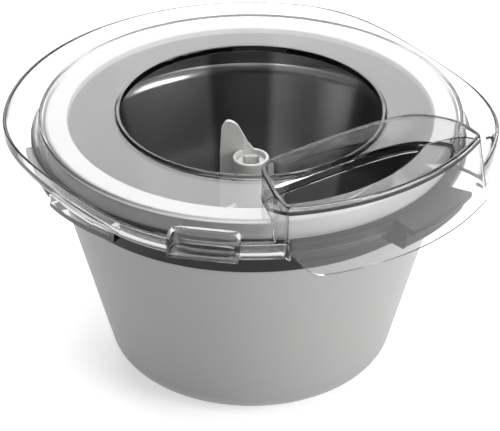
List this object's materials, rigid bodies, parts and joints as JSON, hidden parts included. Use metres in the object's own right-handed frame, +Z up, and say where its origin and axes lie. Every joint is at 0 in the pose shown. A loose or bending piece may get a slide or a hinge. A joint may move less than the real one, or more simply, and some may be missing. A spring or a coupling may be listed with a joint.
{
  "type": "ice cream maker attachment",
  "caption": "Round double-walled freezing bowl with a paddle, a dark locking support ring and a clear lid that has a wide central opening and a raised filling chute.",
  "frame": {"origin": "on the bowl's axis, at the centre of its flat base", "axes": "+Z up along the bowl's axis; +X to the right and +Y away from a user who has the filling chute at the front right"},
  "size_m": [0.283, 0.2863, 0.173],
  "materials": {
    "shell_grey": "satin light grey",
    "dark_aluminium": "dark grey coated, satin",
    "coolant": "gel",
    "white_plastic": "smooth white",
    "seal_rubber": "matte",
    "dark_plastic": "semi-gloss charcoal",
    "clear_plastic": "clear, slightly smoky, polished",
    "paddle_plastic": "off-white moulded"
  },
  "bodies": {
    "bowl": {"outer_shell": "shell_grey", "inner_bowl": "dark_aluminium", "coolant_fill": "coolant", "rim_ring": "white_plastic", "filler_plug": "seal_rubber", "inner_seal": "seal_rubber", "outer_seal": "seal_rubber"},
    "support_ring": {"support_ring": "dark_plastic"},
    "lid": {"lid_panel": "clear_plastic", "filling_chute": "clear_plastic"},
    "paddle": {"paddle": "paddle_plastic", "drive_socket": "paddle_plastic"}
  },
  "joints": [
    {"name": "ring_turn", "type": "hinge", "parent": "bowl", "child": "support_ring", "pos_m": [0, 0, 0.13], "axis": [0, 0, 1], "range_deg": [0, 22]},
    {"name": "lid_lift", "type": "slide", "parent": "bowl", "child": "lid", "axis": [0, 0, 1], "range_m": [0, 0.12]},
    {"name": "paddle_spin", "type": "hinge", "parent": "bowl", "child": "paddle", "pos_m": [0, 0, 0.024], "axis": [0, 0, 1], "continuous": true}
  ]
}
